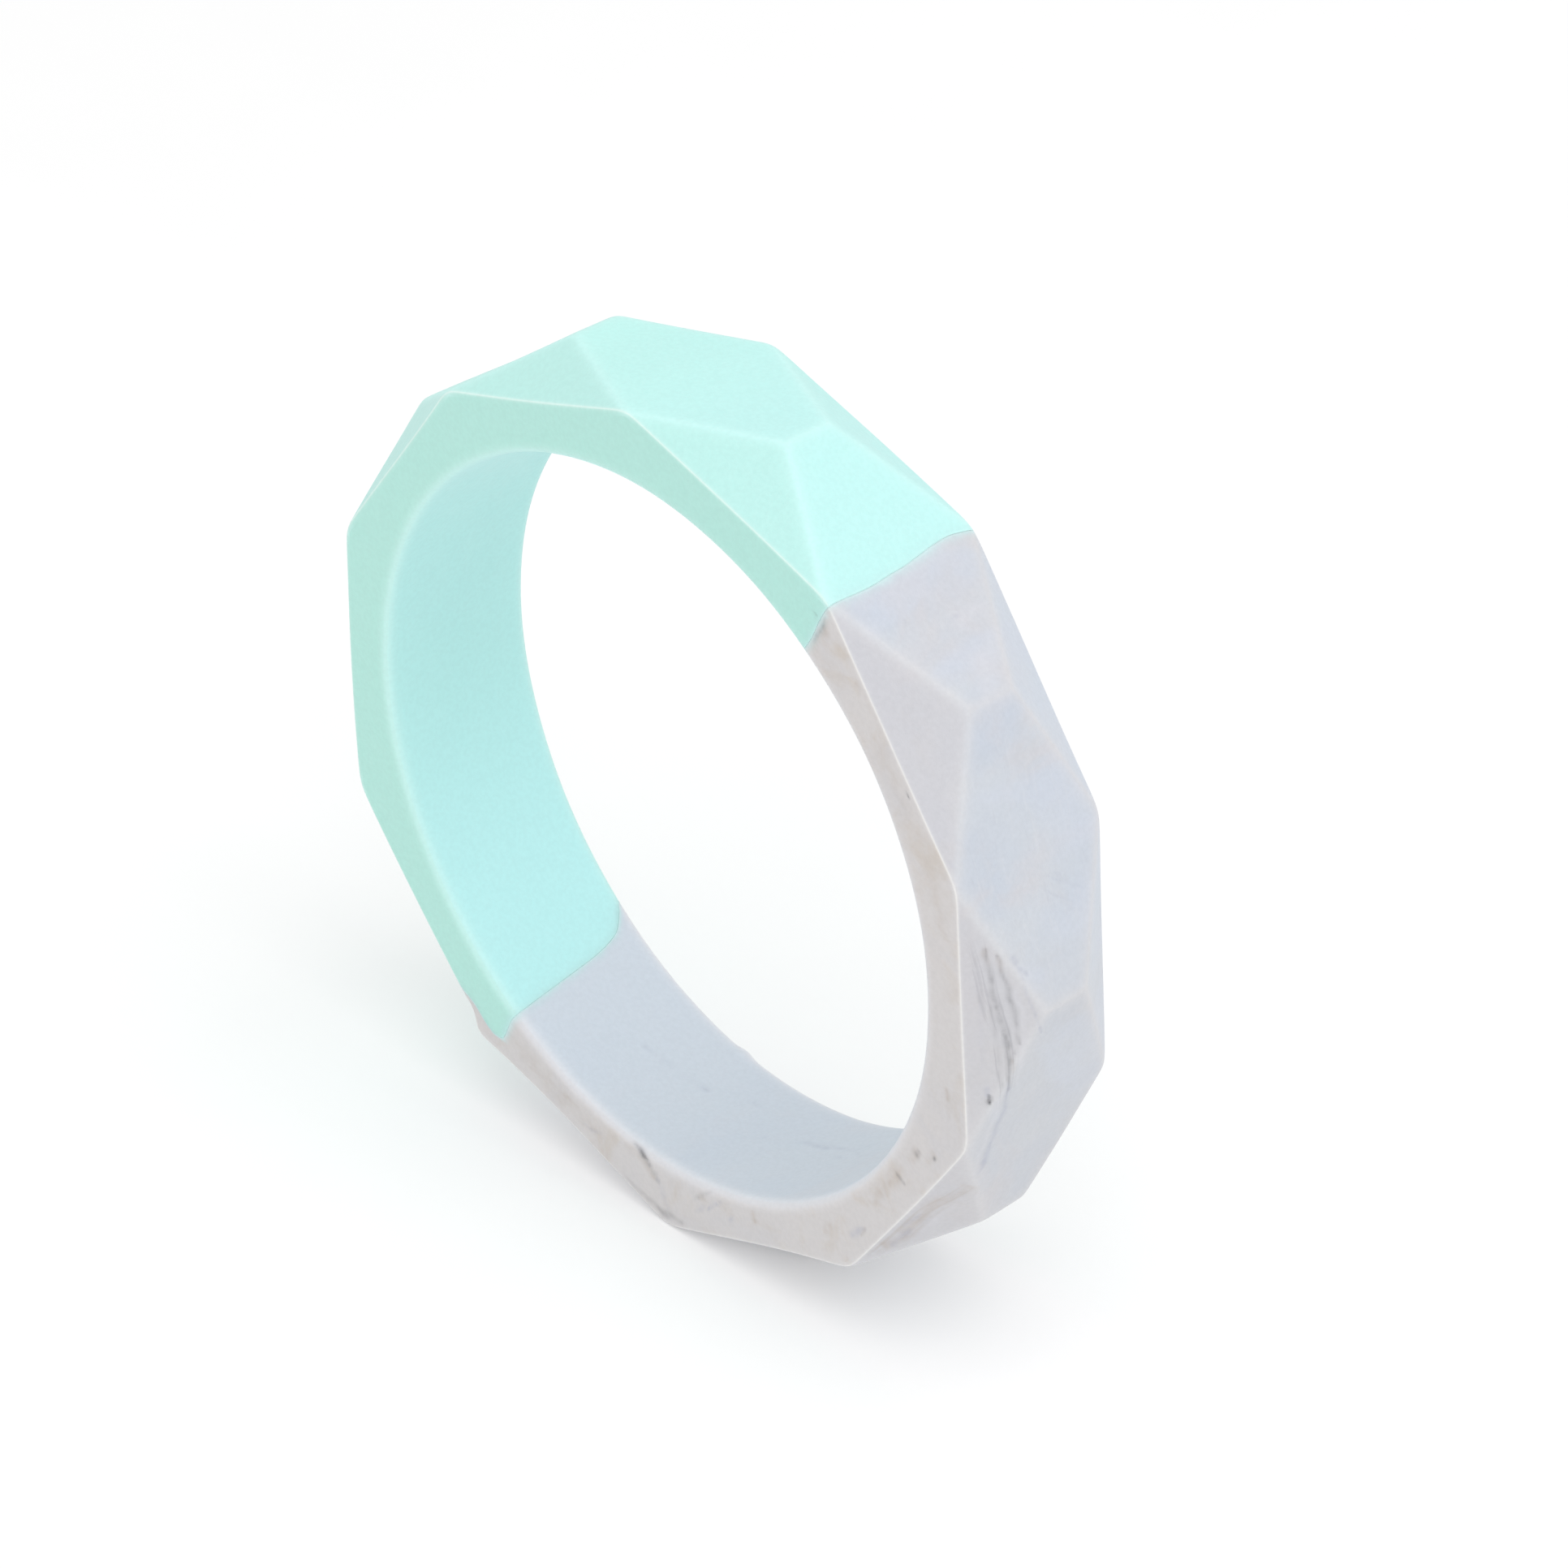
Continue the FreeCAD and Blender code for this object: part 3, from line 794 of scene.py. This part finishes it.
# painted highlights along the facet creases and the bore edge
base = n.mix(n.math("MULTIPLY", n.math("POWER", crease, 0.5), 0.58), base, c4(srgb(215, 213, 214)))
base = n.mix(n.math("MULTIPLY", bore_edge, 0.72), base, c4(srgb(231, 230, 234)))
# hairlines of pigment that run beside the main streaks, and tan bands below
hair = n.remap(n.noise(flow_vector(3.4, 1.1, 0.0), 1.0, 4.0, 0.62, 0.5), 0.50, 0.66)
base = n.mix(n.math("MULTIPLY", n.math("MULTIPLY", hair, streaky), 0.30), base, c4(srgb(150, 150, 158)))
hair2 = n.remap(n.noise(flow_vector(2.0, 0.9, 0.0), 1.0, 4.0, 0.6, 0.5), 0.44, 0.66)
base = n.mix(n.math("MULTIPLY", n.math("MULTIPLY", hair2, tanned), 0.30), base, c4(srgb(176, 166, 156)))
# pigment marks, broken up along their length
broken = n.remap(n.noise(vec, 1300.0, 3.0, 0.65), 0.32, 0.66, 0.55, 1.1)
softer = n.remap(n.noise(vec, 700.0, 3.0, 0.6), 0.30, 0.70, 0.45, 1.1)
base = n.mix(n.math("MULTIPLY", pale, 0.8, clamp=True), base, c4(srgb(213, 213, 219)))
base = n.mix(n.math("MULTIPLY", n.math("MULTIPLY", brown, softer), 0.80, clamp=True), base, c4(srgb(176, 160, 146)))
base = n.mix(n.math("MULTIPLY", n.math("MULTIPLY", slate, softer), 0.85, clamp=True), base, c4(srgb(158, 163, 184)))
base = n.mix(n.math("MULTIPLY", n.math("MULTIPLY", dark, broken), 0.85, clamp=True), base, c4(srgb(112, 112, 116)))
# painted highlight along the rims' outline
base = n.mix(n.math("MULTIPLY", n.math("POWER", corner, 1.4), 0.95), base, c4(srgb(240, 239, 237)))
bleed = n.math("MULTIPLY", at_joint, n.remap(n.noise(vec, 420.0, 3.0, 0.6), 0.35, 0.65, 0.30, 0.80))
base = n.mix(bleed, base, c4(srgb(201, 230, 232)))
# painted light: lighter right beside the bond, where less light scatters back, which would draw a dark line
base = n.mix(n.math("MULTIPLY", n.math("POWER", at_joint, 12.0), 0.65), base, c4(srgb(212, 246, 246)))
speck = n.remap(n.noise(vec, 2600.0, 1.0, 0.5), 0.25, 0.75, 0.978, 1.014)
tint = n.node("ShaderNodeCombineColor")
for k in range(3):
    n.link(speck, tint.inputs[k])
base = n.mix(1.0, base, tint.outputs[0], "MULTIPLY")
n.link(base, bsdf.inputs["Base Color"])
silicone_surface(n, bsdf, vec)
marble.data.materials.append(marble_mat)

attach(mint, "root")
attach(marble, "root")
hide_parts("mint_half")
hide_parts("marble_half")
# the CAD nodes aren't shown, and carry the same finish
for node, mat in (("mint_half", mint_mat), ("marble_half", marble_mat)):
    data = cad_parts[node].data
    data.materials.clear()
    data.materials.append(mat)

# ---------------------------------------------------------------------------
# floor, light and camera
# ---------------------------------------------------------------------------
floor_z = CAD_BOX[0].z
mesh = bpy.data.meshes.new("floor")
L = 6.0
mesh.from_pydata([(-L, -L, floor_z), (L, -L, floor_z), (L, L, floor_z), (-L, L, floor_z)], [], [(0, 1, 2, 3)])
floor = bpy.data.objects.new("floor", mesh)
bpy.context.scene.collection.objects.link(floor)
fm, nt, bsdf = new_material("pale_floor")
n = Net(nt)
tc = n.node("ShaderNodeTexCoord")
bsdf.inputs["Roughness"].default_value = 0.9
bsdf.inputs["Specular IOR Level"].default_value = 0.1
n.link(n.mix(n.remap(n.noise(tc.outputs["Object"], 30.0, 3.0), 0.3, 0.7),
             (0.80, 0.80, 0.80, 1), (0.81, 0.81, 0.81, 1)), bsdf.inputs["Base Color"])
bsdf.inputs["Emission Color"].default_value = (1, 1, 1, 1)
bsdf.inputs["Emission Strength"].default_value = 0.19
floor.data.materials.append(fm)

world = bpy.data.worlds.new("studio")
bpy.context.scene.world = world
world.use_nodes = True
bg = world.node_tree.nodes["Background"]
bg.inputs[0].default_value = (1.0, 1.0, 1.0, 1)
bg.inputs[1].default_value = 0.80


def area(name, loc, target, size, power, colour):
    d = bpy.data.lights.new(name, "AREA")
    d.shape = "RECTANGLE"
    d.size, d.size_y = size
    d.energy = power
    d.color = colour
    o = bpy.data.objects.new(name, d)
    bpy.context.scene.collection.objects.link(o)
    o.location = loc
    o.rotation_mode = "QUATERNION"
    o.rotation_quaternion = (Vector(target) - Vector(loc)).to_track_quat("-Z", "Y")
    return o


centre = Vector((0, 0, AXIS_Z / 1000.0))
area("key_softbox", (0.42, -0.12, 0.86), centre, (0.8, 0.8), 3.4, (1.0, 1.0, 1.0))

cam_data = bpy.data.cameras.new("camera")
cam_data.sensor_width = 36.0
cam_data.lens = 165.89
cam = bpy.data.objects.new("camera", cam_data)
bpy.context.scene.collection.objects.link(cam)
right = Vector((0.6716762, 0.7400702, -0.0338700))
down = Vector((0.3850130, -0.3877608, -0.8375001))
forward = Vector((-0.6329424, 0.5494885, -0.5453864))
rot = Matrix((right, -down, -forward)).transposed()
cam.matrix_world = Matrix.Translation((0.3724783, -0.3160887, 0.3578130)) @ rot.to_4x4()
cam_data.clip_start, cam_data.clip_end = 0.05, 20.0
bpy.context.scene.camera = cam

view = bpy.context.scene.view_settings
view.view_transform = "Standard"
view.look = "None"
